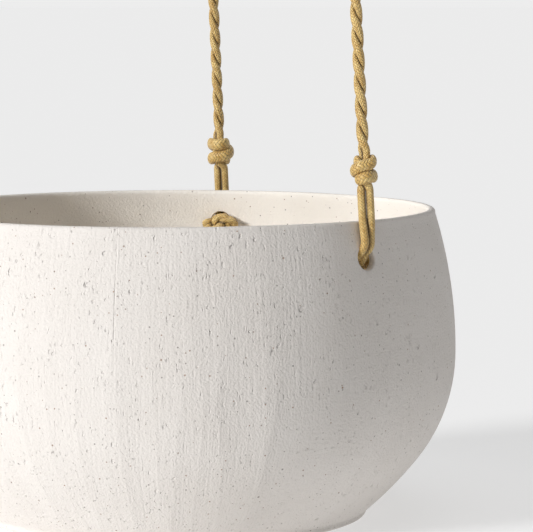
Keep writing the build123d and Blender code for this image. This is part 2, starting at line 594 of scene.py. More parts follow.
class ShaderParts:
    """The shader effects that more than one finish uses, each a node group."""

    def __init__(self) -> None:
        """Builds the groups."""
        self.specks = self._specks()
        self.drag_marks = self._drag_marks()
        self.braid = self._braid()
        self.mottle = self._mottle()

    def _specks(self) -> NodeTree:
        """Builds a group that scatters round specks of many sizes, and returns it."""
        graph, inputs, out = new_tree("Scattered specks", "ShaderNodeTree", {
            "Vector": "NodeSocketVector", "Spacing": 0.003,
            "Radius": 0.2, "Share": 0.4,
            "Edge": 0.05,
        }, {"Mask": "NodeSocketFloat", "Random": "NodeSocketFloat"})
        scale = graph.math("DIVIDE", 1.0, inputs["Spacing"])
        cells = graph.add("ShaderNodeTexVoronoi", {"Vector": inputs["Vector"], "Scale": scale},
                          feature="F1")
        red, green, _ = graph.split(cells.outputs["Color"])
        chosen = graph.math("SUBTRACT", red, graph.math("SUBTRACT", 1.0, inputs["Share"]))
        size = graph.math("DIVIDE", chosen, inputs["Share"])
        radius = graph.math("MULTIPLY", size, inputs["Radius"])
        inside = graph.math("SUBTRACT", radius, cells.outputs["Distance"])
        mask = graph.math("DIVIDE", inside, inputs["Edge"], clamp=True)
        graph.feed(out.inputs["Mask"], mask)
        graph.feed(out.inputs["Random"], green)
        return graph.tree

    def _drag_marks(self) -> NodeTree:
        """Builds a group for fine marks that run up a turned wall, and returns it."""
        graph, inputs, out = new_tree("Drag marks", "ShaderNodeTree", {
            "Vector": "NodeSocketVector", "Width": 0.001,
            "Length": 12.0, "Radius": 0.1,
        }, {"Height": "NodeSocketFloat", "Facet": "NodeSocketFloat"})
        x, y, z = graph.split(inputs["Vector"])
        flat = graph.vector("NORMALIZE", graph.combine(x, y, 0.0))
        around = graph.vector("SCALE", flat, inputs["Radius"])
        ax, ay, _ = graph.split(around)
        place = graph.combine(ax, ay, graph.math("DIVIDE", z, inputs["Length"]))
        scale = graph.math("DIVIDE", 1.0, inputs["Width"])
        noise = graph.add("ShaderNodeTexNoise", {"Vector": place, "Scale": scale, "Detail": 4.0,
                                                 "Roughness": 0.6})
        cells = graph.add("ShaderNodeTexVoronoi", {"Vector": place, "Scale": scale}, feature="F1")
        graph.feed(out.inputs["Height"], noise.outputs[0])
        graph.feed(out.inputs["Facet"], cells.outputs["Distance"])
        return graph.tree

    def _braid(self) -> NodeTree:
        """Builds a group for the yarns of a round braid, from a cord's UV map, and returns it."""
        graph, inputs, out = new_tree("Braided yarns", "ShaderNodeTree", {
            "Vector": "NodeSocketVector", "Yarns": 8.0,
        }, {"Height": "NodeSocketFloat", "Fibre": "NodeSocketFloat", "Yarn": "NodeSocketFloat"})
        around, along, _ = graph.split(inputs["Vector"])
        height, across, lengthwise, index = yarn_crowns(graph, around, along, inputs["Yarns"])
        fibres = graph.add("ShaderNodeTexNoise", {
            "Vector": graph.combine(graph.math("MULTIPLY", across, 5.0), lengthwise, index),
            "Scale": 1.7, "Detail": 3.0, "Roughness": 0.6})
        tone = graph.add("ShaderNodeTexWhiteNoise", {"W": index}, noise_dimensions="1D")
        graph.feed(out.inputs["Height"], height)
        graph.feed(out.inputs["Fibre"], fibres.outputs[0])
        graph.feed(out.inputs["Yarn"], tone.outputs["Value"])
        return graph.tree

    def _mottle(self) -> NodeTree:
        """Builds a group for the uneven tone of a natural material, and returns it."""
        graph, inputs, out = new_tree("Uneven tone", "ShaderNodeTree", {
            "Vector": "NodeSocketVector", "Patch": 0.02,
            "Contrast": 1.0,
        }, {"Tone": "NodeSocketFloat"})
        scale = graph.math("DIVIDE", 1.0, inputs["Patch"])
        noise = graph.add("ShaderNodeTexNoise", {"Vector": inputs["Vector"], "Scale": scale,
                                                 "Detail": 5.0, "Roughness": 0.55})
        offset = graph.math("SUBTRACT", noise.outputs[0], 0.5)
        tone = graph.math("MULTIPLY_ADD", offset, inputs["Contrast"], 0.5, clamp=True)
        graph.feed(out.inputs["Tone"], tone)
        return graph.tree


def yarn_crowns(graph: Graph, around: object, along: object, yarns: object) -> tuple:
    """Adds the nodes that work out the yarns of a round braid, two over and two under.

    Args:
        graph: the tree that the nodes go into.
        around: place round the cord, 0 to 1.
        along: place along the cord, in circumferences.
        yarns: how many yarns wind each way, an even number.

    Returns:
        The yarn's height from 0 to 1, the places across it and along it, and its number.
    """
    right = graph.math("MULTIPLY", graph.math("ADD", around, along), yarns)
    left = graph.math("MULTIPLY", graph.math("SUBTRACT", around, along), yarns)
    right_yarn, left_yarn = graph.math("FLOOR", right), graph.math("FLOOR", left)
    in_right = graph.math("SUBTRACT", right, right_yarn)
    in_left = graph.math("SUBTRACT", left, left_yarn)
    turn = graph.math("FLOORED_MODULO", graph.math("ADD", right_yarn, left_yarn), 4.0)
    under = graph.math("GREATER_THAN", turn, 1.5)

    def choose(over: object, other: object) -> NodeSocket:
        """Picks the value of whichever yarn lies on top."""
        gap = graph.math("SUBTRACT", other, over)
        return graph.math("MULTIPLY_ADD", gap, under, over)

    first = graph.math("MULTIPLY", graph.math("ADD", turn, in_left), 0.5)
    past = graph.math("ADD", graph.math("SUBTRACT", turn, 2.0), in_right)
    second = graph.math("MULTIPLY", past, 0.5)
    lengthwise = choose(first, second)
    across = choose(in_right, in_left)
    index = choose(right_yarn, graph.math("ADD", left_yarn, 0.5))

    def crown(place: object) -> NodeSocket:
        """Rises from 0 at both ends of a yarn to 1 in its middle."""
        offset = graph.math("MULTIPLY_ADD", place, 2.0, -1.0)
        return graph.math("SUBTRACT", 1.0, graph.math("MULTIPLY", offset, offset))

    round_across = graph.math("SQRT", graph.math("MAXIMUM", crown(across), 0.0))
    round_along = graph.math("MULTIPLY_ADD", crown(lengthwise), 0.6, 0.4)
    return graph.math("MULTIPLY", round_across, round_along), across, lengthwise, index


@dataclass(frozen=True)
class Marks:
    """Pits, scratches or chips, scattered over the clay and drawn out up the wall."""

    spacing: float
    radius: float  # of the largest, in spacings
    share: float  # of the places that have one
    edge: float  # in spacings
    stretch: float
    depth: float


@dataclass(frozen=True)
class ClayFinish:
    """Unglazed, speckled clay."""

    surface: Surface
    colour: tuple = tint(235, 230, 225)
    shade: tuple = tint(221, 214, 207)
    speck: tuple = tint(88, 76, 68)
    rust: tuple = tint(150, 116, 92)
    roughness: float = 0.88
    specular: float = 0.25
    patch: float = 0.03  # size of the patches of uneven tone
    patch_contrast: float = 1.8
    patch_share: float = 0.55  # of the darker colour in the darkest patch
    specks: tuple = ((0.0013, 0.26, 0.3), (0.0040, 0.12, 0.85))  # spacing, radius and share
    speck_edge: float = 0.05
    rusty: tuple = (0.55, 0.75)  # random values at which specks turn from dark to rusty
    ragged: float = 0.0015
    grain: float = 0.00030
    grain_scale: float = 1300.0
    facet_depth: float = 0.0006
    line_depth: float = 0.00019
    facet_width: float = 0.011
    facet_length: float = 9.0
    facet_heights: tuple = (0.045, 0.095)  # up the wall, between which the facets fade
    facet_left: float = 0.25  # what is left of them above
    lines: tuple = ((0.0011, 13.0, 1.0), (0.012, 0.07, 0.4))  # width, length, share of the depth
    cluster: float = 0.012  # size of the places where the marks gather
    # painted shade: how far the colour darkens inside each pit, scratch and chip
    painted_mark_shade: float = 0.1
    marks: tuple[Marks, ...] = (
        Marks(0.0011, 0.38, 0.8, 0.30, 2.6, 0.00042),
        Marks(0.0020, 0.28, 0.6, 0.22, 3.6, 0.00048),
        Marks(0.0016, 0.15, 0.95, 0.11, 9.0, 0.00045),
        Marks(0.0070, 0.14, 0.9, 0.06, 1.2, 0.0007),
    )
    seam: tuple = (-0.194, -0.981, 0.0)  # direction of a hairline down the wall

    def material(self, parts: ShaderParts) -> Material:
        """Builds the finish.

        Args:
            parts: the shared shader effects.

        Returns:
            The material.
        """
        material, graph, shader = new_material(self.surface.value.capitalize())
        place = graph.add("ShaderNodeTexCoord").outputs["Object"]
        tone = graph.group(parts.mottle, {"Vector": place, "Patch": self.patch,
                                           "Contrast": self.patch_contrast})
        darker = graph.math("MULTIPLY", tone.outputs["Tone"], self.patch_share)
        colour = graph.mix(darker, self.colour, self.shade)
        colour = self._specks(graph, parts, place, colour)
        grain = graph.add("ShaderNodeTexNoise", {"Vector": place, "Scale": self.grain_scale,
                                                 "Detail": 4.0})
        normal = graph.bump(grain.outputs[0], self.grain)
        if self.surface is Surface.RAW:
            normal, colour = self._tool_marks(graph, parts, place, normal, colour)
        graph.feed(shader.inputs["Base Color"], colour)
        graph.feed(shader.inputs["Normal"], normal)
        rough = graph.math("MULTIPLY_ADD", tone.outputs["Tone"], 0.08, self.roughness - 0.04)
        graph.feed(shader.inputs["Roughness"], rough)
        shader.inputs["Specular IOR Level"].default_value = self.specular
        return material

    def _specks(self, graph: Graph, parts: ShaderParts, place: object, colour: object) -> object:
        """Scatters dark and rusty specks of two sizes over a colour and returns the result."""
        for spacing, radius, share in self.specks:
            node = graph.group(parts.specks, {"Vector": place, "Spacing": spacing,
                                              "Radius": radius, "Share": share,
                                              "Edge": self.speck_edge})
            random = node.outputs["Random"]
            stain = graph.mix(graph.ramp(random, *self.rusty), self.speck, self.rust)
            strength = graph.math("MULTIPLY_ADD", random, 0.45, 0.4)
            mask = graph.math("MULTIPLY", node.outputs["Mask"], strength)
            colour = graph.mix(mask, colour, stain)
        return colour

    def _tool_marks(self, graph: Graph, parts: ShaderParts, place: object, normal: object,
                    colour: object) -> tuple[object, object]:
        """Adds the marks that the maker's tools left, to a normal and a colour.

        Args:
            graph: the material's graph.
            parts: the shared shader effects.
            place: the place on the object.
            normal: the normal so far.
            colour: the colour so far.

        Returns:
            The normal and the colour with the marks.
        """
        height = graph.split(place)[2]
        trimmed = graph.group(parts.drag_marks, {"Vector": place, "Width": self.facet_width,
                                                 "Length": self.facet_length})
        facet = graph.math("POWER", trimmed.outputs["Facet"], 2.0)
        low = graph.ramp(height, *self.facet_heights, 1.0, self.facet_left)
        normal = graph.bump(graph.math("MULTIPLY", facet, low), self.facet_depth, normal)
        for width, length, share in self.lines:
            lines = graph.group(parts.drag_marks, {"Vector": place, "Width": width,
                                                   "Length": length})
            normal = graph.bump(lines.outputs["Height"], share * self.line_depth, normal)
        noise = graph.add("ShaderNodeTexNoise", {"Vector": place, "Scale": 800.0, "Detail": 2.0})
        stray = graph.vector("SUBTRACT", noise.outputs["Color"], (0.5, 0.5, 0.5))
        ragged = graph.vector("ADD", place, graph.vector("SCALE", stray, self.ragged))
        clusters = graph.group(parts.mottle, {"Vector": place, "Patch": self.cluster,
                                               "Contrast": 3.0})
        for marks in self.marks:
            drawn = graph.vector("MULTIPLY", ragged, (1.0, 1.0, 1 / marks.stretch))
            node = graph.group(parts.specks, {"Vector": drawn, "Spacing": marks.spacing,
                                              "Radius": marks.radius, "Share": marks.share,
                                              "Edge": marks.edge})
            mask = graph.math("MULTIPLY", node.outputs["Mask"],
                              graph.math("MULTIPLY_ADD", clusters.outputs["Tone"], 0.8, 0.2))
            normal = graph.bump(graph.math("SUBTRACT", 0.0, mask), marks.depth, normal)
            # Painted shade: the colour darkens inside each mark, where its hollow lies.
            colour = graph.mix(graph.math("MULTIPLY", mask, self.painted_mark_shade), colour, self.shade)
        return self._seam(graph, place, normal, colour)

    def _seam(self, graph: Graph, place: object, normal: object,
              colour: object) -> tuple[object, object]:
        """Adds the hairline that runs down the wall, to a normal and a colour."""
        x, y, z = graph.split(place)
        along_x, along_y, _ = self.seam
        off = graph.math("SUBTRACT", graph.math("MULTIPLY", x, along_y),
                         graph.math("MULTIPLY", y, along_x))
        facing = graph.math("GREATER_THAN", graph.math("ADD", graph.math("MULTIPLY", x, along_x),
                                                       graph.math("MULTIPLY", y, along_y)), 0.0)
        line = graph.ramp(graph.math("ABSOLUTE", off), 0.00005, 0.00030, 0.5, 0.0)
        mask = graph.math("MULTIPLY", graph.math("MULTIPLY", line, facing),
                          graph.ramp(z, 0.05, 0.075))
        normal = graph.bump(graph.math("SUBTRACT", 0.0, mask), self.line_depth, normal)
        return normal, graph.mix(graph.math("MULTIPLY", mask, 0.2), colour, self.shade)


@dataclass(frozen=True)
class CordFinish:
    """Tightly braided, waxed cord."""

    name: str = "Waxed braided cord"
    light: tuple = tint(246, 219, 146)
    dark: tuple = tint(182, 135, 50)
    # painted shade: the near-black brown that fills the gaps between the yarns and the places where the cord lies
    # against itself
    gap: tuple = tint(60, 34, 6)
    roughness: float = 0.44
    yarn_height: float = 0.00024
    fibre_height: float = 0.00006
    yarn_share: float = 0.4  # of the tone that differs from yarn to yarn
    # painted shade: its strength, between the yarns and where the cord lies against itself
    groove_share: float = 0.85  # of the darkest colour in a groove
    sheen: float = 0.2
    specular: float = 0.6

    def material(self, parts: ShaderParts) -> Material:
        """Builds the finish.

        Args:
            parts: the shared shader effects.

        Returns:
            The material.
        """
        material, graph, shader = new_material(self.name)
        weave = graph.add("ShaderNodeUVMap", uv_map="weave").outputs[0]
        place = graph.add("ShaderNodeTexCoord").outputs["Object"]
        # Painted contact shade, stored by the braided skin where the cord lies against itself.
        groove = graph.add("ShaderNodeAttribute", attribute_name="groove").outputs["Fac"]
        braid = graph.group(parts.braid, {"Vector": weave})
        patches = graph.group(parts.mottle, {"Vector": place, "Patch": 0.004, "Contrast": 2.0})
        tone, height = patches.outputs["Tone"], braid.outputs["Height"]
        patchy = graph.math("MULTIPLY", tone, 1 - self.yarn_share)
        shade = graph.math("MULTIPLY_ADD", braid.outputs["Yarn"], self.yarn_share, patchy)
        colour = graph.mix(shade, self.light, self.dark)
        fibre = graph.ramp(braid.outputs["Fibre"], 0.35, 0.7, 0.0, 0.35)
        colour = graph.mix(fibre, colour, self.dark)
        # Painted shade: the colour darkens towards the gap colour where the yarns sink between their crowns.
        colour = graph.mix(graph.ramp(height, 0.1, 0.55, self.groove_share, 0.0), colour, self.gap)
        # Painted shade: the colour darkens towards the gap colour where the cord lies against itself.
        colour = graph.mix(graph.math("MULTIPLY", groove, self.groove_share), colour, self.gap)
        normal = graph.bump(height, self.yarn_height)
        normal = graph.bump(braid.outputs["Fibre"], self.fibre_height, normal)
        graph.feed(shader.inputs["Base Color"], colour)
        graph.feed(shader.inputs["Normal"], normal)
        rough = graph.math("MULTIPLY_ADD", tone, 0.12, self.roughness - 0.06)
        graph.feed(shader.inputs["Roughness"], rough)
        shader.inputs["Sheen Weight"].default_value = self.sheen
        shader.inputs["Specular IOR Level"].default_value = self.specular
        return material


def braid_tree() -> NodeTree:
    """Builds the Geometry Nodes tree that lays a braided skin round a line of rings.

    Returns:
        The tree. Its geometry is a line of points that carry two half widths and their run.
    """
    graph, inputs, out = new_tree("Braided skin", "GeometryNodeTree", {
        "Geometry": "NodeSocketGeometry", "Sides": 24,
        "Yarns": 8.0, "Crown Height": 0.00005,
        "Material": "NodeSocketMaterial",
    }, {"Geometry": "NodeSocketGeometry"})
    rings = graph.add("GeometryNodeAttributeDomainSize", {"Geometry": inputs["Geometry"]},
                      component="MESH").outputs["Point Count"]
    row = graph.math("ADD", inputs["Sides"], 1.0)
    grid = graph.add("GeometryNodeMeshGrid", {"Vertices X": rings, "Vertices Y": row})
    index = graph.add("GeometryNodeInputIndex").outputs[0]
    ring = graph.math("FLOOR", graph.math("DIVIDE", graph.math("ADD", index, 0.5), row))
    side = graph.math("SUBTRACT", index, graph.math("MULTIPLY", ring, row))
    around = graph.math("DIVIDE", side, inputs["Sides"])
    angle = graph.math("MULTIPLY", around, 2 * math.pi)

    def at_ring(value: object, kind: str) -> NodeSocket:
        """Reads a value of the line at the ring that a vertex belongs to."""
        node = graph.add("GeometryNodeSampleIndex", {"Geometry": inputs["Geometry"]},
                         data_type=kind, domain="POINT")
        graph.feed(node.inputs["Value"], value)
        graph.feed(node.inputs["Index"], ring)
        return node.outputs["Value"]

    def named(label: str, kind: str) -> NodeSocket:
        """Reads one of the line's own attributes."""
        node = graph.add("GeometryNodeInputNamedAttribute", {"Name": label}, data_type=kind)
        return node.outputs["Attribute"]

    centre = at_ring(graph.add("GeometryNodeInputPosition").outputs[0], "FLOAT_VECTOR")
    across = at_ring(named("across", "FLOAT_VECTOR"), "FLOAT_VECTOR")
    upright = at_ring(named("upright", "FLOAT_VECTOR"), "FLOAT_VECTOR")
    along = at_ring(named("run", "FLOAT"), "FLOAT")
    arm = graph.vector("ADD", graph.vector("SCALE", across, graph.math("COSINE", angle)),
                       graph.vector("SCALE", upright, graph.math("SINE", angle)))
    height, _, _, _ = yarn_crowns(graph, around, along, inputs["Yarns"])
    facing = graph.vector("NORMALIZE", arm)
    rise = graph.vector("SCALE", facing, graph.math("MULTIPLY", height, inputs["Crown Height"]))
    # Painted contact shade: how squarely the skin faces a place where the cord lies against itself, which darkens
    # its colour.
    groove = 0.0
    for label in ("touch_one", "touch_two"):
        touch = at_ring(named(label, "FLOAT_VECTOR"), "FLOAT_VECTOR")
        towards = graph.add("ShaderNodeVectorMath", {0: facing, 1: touch}, operation="DOT_PRODUCT")
        groove = graph.math("MAXIMUM", groove, graph.ramp(towards.outputs["Value"], 0.2, 0.8))
    place = graph.vector("ADD", graph.vector("ADD", centre, arm), rise)

    def stored(geometry: object, label: str, value: object, kind: str,
               domain: str = "POINT") -> NodeSocket:
        """Stores an attribute on a geometry."""
        return graph.add("GeometryNodeStoreNamedAttribute", {
            "Geometry": geometry, "Name": label, "Value": value,
        }, data_type=kind, domain=domain).outputs[0]

    with_contact_shade = stored(grid.outputs["Mesh"], "groove", groove, "FLOAT")
    skin = graph.add("GeometryNodeSetPosition", {"Geometry": with_contact_shade, "Position": place})
    marked = stored(skin.outputs[0], "lay", graph.combine(around, along, 0.0), "FLOAT_VECTOR")
    mapped = stored(marked, "weave", named("lay", "FLOAT_VECTOR"), "FLOAT2", "CORNER")
    cleared = graph.add("GeometryNodeRemoveAttribute", {"Geometry": mapped, "Name": "lay"})
    closed = graph.add("GeometryNodeMergeByDistance", {"Geometry": cleared.outputs[0],
                                                       "Distance": 1e-6})
    smooth = graph.add("GeometryNodeSetShadeSmooth", {"Geometry": closed.outputs[0]})
    return dressed(graph, out, smooth.outputs[0], inputs["Material"])


def relief_tree() -> NodeTree:
    """Builds the Geometry Nodes tree that gives a turned wall its handmade unevenness.

    Returns:
        The tree.
    """
    graph, inputs, out = new_tree("Handmade relief", "GeometryNodeTree", {
        "Geometry": "NodeSocketGeometry", "Swell": 0.0003,
        "Swell Size": 0.05, "Facet": 0.00015,
        "Facet Width": 0.012, "Flat Base": 0.003,
        "Facet Radius": 0.1, "Facet Length": 0.12,
        "Seed": 3.0, "Material": "NodeSocketMaterial",
    }, {"Geometry": "NodeSocketGeometry"})
    place = graph.add("GeometryNodeInputPosition").outputs[0]
    normal = graph.add("GeometryNodeInputNormal").outputs[0]
    x, y, z = graph.split(place)
    swell = graph.add("ShaderNodeTexNoise", {
        "Vector": place, "W": inputs["Seed"], "Detail": 1.0,
        "Scale": graph.math("DIVIDE", 1.0, inputs["Swell Size"])}, noise_dimensions="4D")
    flat = graph.vector("SCALE", graph.vector("NORMALIZE", graph.combine(x, y, 0.0)),
                        inputs["Facet Radius"])
    raised = graph.combine(0.0, 0.0, graph.math("MULTIPLY", z, inputs["Facet Length"]))
    drawn = graph.vector("ADD", flat, raised)
    facet = graph.add("ShaderNodeTexNoise", {
        "Vector": drawn, "W": inputs["Seed"], "Detail": 1.0,
        "Scale": graph.math("DIVIDE", 1.0, inputs["Facet Width"])}, noise_dimensions="4D")
    rise = graph.math("ADD",
                      graph.math("MULTIPLY", graph.math("SUBTRACT", swell.outputs[0], 0.5),
                                 inputs["Swell"]),
                      graph.math("MULTIPLY", graph.math("SUBTRACT", facet.outputs[0], 0.5),
                                 inputs["Facet"]))
    lifted = graph.math("DIVIDE", z, inputs["Flat Base"], clamp=True)
    offset = graph.vector("SCALE", normal, graph.math("MULTIPLY", rise, lifted))
    moved = graph.add("GeometryNodeSetPosition", {"Geometry": inputs["Geometry"],
                                                  "Offset": offset})
    return dressed(graph, out, moved.outputs[0], inputs["Material"])


@dataclass
class Bowl:
    """The turned bowl with its three rope holes."""

    hole_directions: list[float]  # round the bowl, in radians
    height: float = 110 * MM
    rim_radius: float = 93 * MM
    belly_radius: float = 101 * MM
    belly_height: float = 58.5 * MM
    belly_curve: float = 60 * MM
    belly_turn: float = 39.0  # degrees
    foot_radius: float = 67 * MM
    foot_round: float = 1.5 * MM
    wall: float = 2.8 * MM
    lip_round: float = 1.2 * MM
    hole_radius: float = 3.9 * MM
    hole_below_rim: float = 12.3 * MM
    hole_edge: float = 0.35 * MM
    hole_reach: float = 3 * MM  # of the tool that cuts a hole, on each side of the wall
    hole_sides: int = 96
    floor_round: float = 1.2 * MM
    steps_round: int = 360
    step_up: float = 2.2 * MM
    sharpest: float = 4.0  # degrees of bend at which a point of the section is always kept
    arc_steps: tuple = (60, 40, 6)  # points of the upper wall, of the lower and of a rounded edge
    base_steps: int = 14
    crease: float = 50.0  # degrees of bend that are shaded as an edge

    @property
    def upper_curve(self) -> float:
        """Gives the radius of the arc that the upper wall follows."""
        rise, draw_in = self.height - self.belly_height, self.belly_radius - self.rim_radius
        return (rise**2 + draw_in**2) / (2 * draw_in)

    def outline(self) -> np.ndarray:
        """Works out the outside of the wall, from the lip down to the foot.

        Returns:
            Radius and height of each point.
        """
        many, some, _ = self.arc_steps
        curve = self.upper_curve
        top = math.asin((self.height - self.belly_height) / curve)
        upper = arc((self.belly_radius - curve, self.belly_height), curve,
                    np.linspace(top, 0, many))
        turn = math.radians(self.belly_turn)
        lower = arc((self.belly_radius - self.belly_curve, self.belly_height), self.belly_curve,
                    -np.linspace(0, turn, some)[1:])
        side = np.array([-math.cos(turn), math.sin(turn)])
        start = lower[-1]
        chord = np.array([self.foot_radius, 0.0]) - start
        radius = (chord @ chord) / (2 * (chord @ side))
        middle = start + side * radius
        first, last = (math.atan2(*(end - middle)[::-1]) for end in (start, start + chord))
        flank = arc(middle, abs(radius), np.linspace(first, last, some)[1:])
        return np.concatenate([upper, lower, flank])

    def section(self) -> tuple[np.ndarray, int]:
        """Works out the wall's whole section, from the middle of the base to that of the floor.

        Returns:
            Radius and height of each point, and the number of points up to the lip's top.
        """
        outside = self.outline()
        along = tangents(outside)
        inward = np.stack([along[:, 1], -along[:, 0]], 1)
        inward *= -np.sign(inward[:, :1])
        inside = outside + inward * self.wall
        inside = inside[(inside[:, 1] > self.wall) & (inside[:, 1] < self.height - self.lip_round)]
        outside = outside[(outside[:, 1] > self.foot_round)
                          & (outside[:, 1] < self.height - self.lip_round)]

        def edge(radius: float, height: float, size: float, start: float, end: float) -> np.ndarray:
            """Rounds an edge round a middle, from one angle to another in degrees."""
            return arc((radius, height), size,
                       np.radians(np.linspace(start, end, self.arc_steps[-1])))

        lip, foot = self.lip_round, self.foot_round
        foot_edge = edge(outside[-1][0] - foot, foot, foot, -90, -20)
        outer_lip = edge(outside[0][0] - lip, self.height - lip, lip, 10, 90)
        inner_lip = edge(inside[0][0] + lip, self.height - lip, lip, 90, 170)
        floor_edge = inside[-1][0] - self.floor_round
        base = [(r, 0.0) for r in np.linspace(0, foot_edge[0][0], self.base_steps)[:-1]]
        floor = [(r, self.wall) for r in np.linspace(floor_edge, 0, self.base_steps)]
        rising = np.concatenate([base, foot_edge, outside[::-1], outer_lip])
        return self._thinned(np.concatenate([rising, inner_lip, inside, floor]), len(rising))

    def _thinned(self, line: np.ndarray, lip: int) -> tuple[np.ndarray, int]:
        """Drops points that lie closer together than a step where the section hardly bends."""
        kept = [0]
        for k in range(1, len(line) - 1):
            ahead, behind = line[k + 1] - line[k], line[k] - line[kept[-1]]
            bend = abs(math.atan2(ahead[0] * behind[1] - ahead[1] * behind[0], ahead @ behind))
            far = np.linalg.norm(behind) > self.step_up
            if far or bend > math.radians(self.sharpest) or k == lip:
                kept.append(k)
        kept.append(len(line) - 1)
        return line[kept], kept.index(lip)

    def turned(self) -> Object:
        """Turns the section round the axis into a closed mesh, and returns its object."""
        section, _ = self.section()
        angles = np.linspace(0, 2 * math.pi, self.steps_round, endpoint=False)
        ring = np.stack([np.cos(angles), np.sin(angles)], 1)
        rows = section[1:-1]
        points = [(0, 0, section[0][1]), (0, 0, section[-1][1])]
        points += [(r * c, r * s, z) for r, z in rows for c, s in ring]
        count = self.steps_round
        faces = []
        for k in range(count):
            after = (k + 1) % count
            faces.append((0, 2 + after, 2 + k))
            last = 2 + (len(rows) - 1) * count
            faces.append((1, last + k, last + after))
            for row in range(len(rows) - 1):
                low, high = 2 + row * count, 2 + (row + 1) * count
                faces.append((low + k, low + after, high + after, high + k))
        return mesh_object("bowl_clay", np.array(points), faces)

    def radius_at(self, height: np.ndarray, inset: float) -> np.ndarray:
        """Gives the radius of the upper wall at a height, or of a surface inset from it."""
        return self.belly_radius - self.upper_curve + np.sqrt(
            (self.upper_curve - inset) ** 2 - (height - self.belly_height) ** 2)

    def hole_cutter(self, direction: float) -> Object:
        """Makes the tool that cuts one rope hole, flared a little where it leaves the wall.

        Args:
            direction: the hole's direction round the bowl, in radians.

        Returns:
            The tool.
        """
        sides, edge, reach = self.hole_sides, self.hole_edge, self.hole_reach
        centre = self.height - self.hole_below_rim
        outward = np.array([math.cos(direction), math.sin(direction), 0])
        flare = ((reach, 2 * edge), (0.0, edge), (-0.3 * edge, 0.45 * edge),
                 (-1.0 * edge, 0.12 * edge), (-1.8 * edge, 0.0))
        rings = [(0.0, push, widen) for push, widen in flare]
        rings += [(self.wall, -push, widen) for push, widen in flare[::-1]]
        points, faces = [], []
        for inset, push, widen in rings:
            for k in range(sides):
                angle = 2 * math.pi * k / sides
                radius = self.hole_radius + widen
                across, up = radius * math.cos(angle), radius * math.sin(angle)
                wall = math.sqrt(self.radius_at(centre + up, inset) ** 2 - across**2)
                points.append(outward * (wall + push) + np.cross(UP, outward) * across
                              + UP * (centre + up))
        for row in range(len(rings) - 1):
            for k in range(sides):
                after = (k + 1) % sides
                low, high = row * sides, (row + 1) * sides
                faces.append((low + k, low + after, high + after, high + k))
        faces.append(tuple(range(sides))[::-1])
        faces.append(tuple((len(rings) - 1) * sides + k for k in range(sides)))
        return mesh_object("hole_tool", np.array(points), faces)

    def build(self, materials: dict[Surface, Material]) -> Object:
        """Builds and dresses the bowl.

        Args:
            materials: the clay for each of its surfaces.

        Returns:
            The finished piece.
        """
        piece = self.turned()
        tools = [self.hole_cutter(direction) for direction in self.hole_directions]
        for tool in tools:
            point_outwards(tool.data)
            cut = piece.modifiers.new("hole", "BOOLEAN")
            cut.operation, cut.solver, cut.object = "DIFFERENCE", "EXACT", tool
        piece.name = "bowl_clay.blank"
        piece = plain_mesh(piece, "bowl_clay")
        for tool in tools:
            bpy.data.objects.remove(tool)
        piece = grow(piece, relief_tree(), {"Material": materials[Surface.RAW]})
        self._dress(piece, materials)
        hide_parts("bowl")
        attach(piece, "bowl_body")
        return piece

    def _dress(self, piece: Object, materials: dict[Surface, Material]) -> None:
        """Gives the faces inside the lip the smoothed finish, which is painted paler as painted light, and the
        others the raw clay.
        """
        mesh = piece.data
        mesh.materials.clear()
        for surface in Surface:
            mesh.materials.append(materials[surface])
        centres, normals = (self._of_faces(mesh, name) for name in ("center", "normal"))
        radius = np.hypot(centres[:, 0], centres[:, 1])
        outline = self.outline()[::-1]
        outer = np.interp(centres[:, 2], outline[:, 1], outline[:, 0])
        inside = (outer - radius > 0.6 * self.wall) & (centres[:, 2] > 0.6 * self.wall)
        facing = (normals[:, :2] * centres[:, :2]).sum(1) < 0
        inner = inside & (facing | (normals[:, 2] > 0.5))
        mesh.polygons.foreach_set("material_index", inner.astype(np.int32))
        mesh.shade_smooth()
        mesh.set_sharp_from_angle(angle=math.radians(self.crease))
        mesh.update()

    @staticmethod
    def _of_faces(mesh: Mesh, name: str) -> np.ndarray:
        """Reads a vector of each of a mesh's faces."""
        values = np.zeros(len(mesh.polygons) * 3)
        mesh.polygons.foreach_get(name, values)
        return values.reshape(-1, 3)


def point_outwards(mesh: Mesh) -> None:
    """Turns a closed mesh's faces outwards, if they point inwards."""
    mesh.calc_loop_triangles()
    points = np.array([v.co for v in mesh.vertices])
    corners = np.array([t.vertices for t in mesh.loop_triangles])
    a, b, c = points[corners[:, 0]], points[corners[:, 1]], points[corners[:, 2]]
    if np.einsum("ij,ij->i", a, np.cross(b, c)).sum() < 0:
        mesh.flip_normals()


@dataclass(frozen=True)
class StopperForm:
    """How the two strands of a stopper knot lie in it and leave it. Depths run outwards."""

    spread: tuple = (1.2, 0.8, 0.95)  # of the knot as it was tied: sideways, up and outwards
    drop: float = 1.2 * MM  # of its middle, below that of the hole
    press: float = 0.7 * MM  # how far it is pulled against the wall
    squeeze: float = 0.92  # width of the cord in the knot
    core: float = 3.4 * MM  # depth at which the knot's own form ends
    fade: float = 2.0 * MM  # beyond it, until the cord has its full width
    lane_start: float = 2.0 * MM  # depth at which a strand bends into its lane
    lane_run: float = 2.5 * MM
    stub: float = 5.2 * MM  # depth at which it ends in the hole
    tail: float = 12 * MM  # depth at which its loose end ends, inside the bowl
    droop_start: float = 3.0 * MM
    droop_down: float = 0.9
    droop_apart: float = 0.12
    droop_bend: float = 2.0 * MM  # droop at which a loose end turns back to the wall
    droop_back: float = 0.75
    soft_passes: int = 8


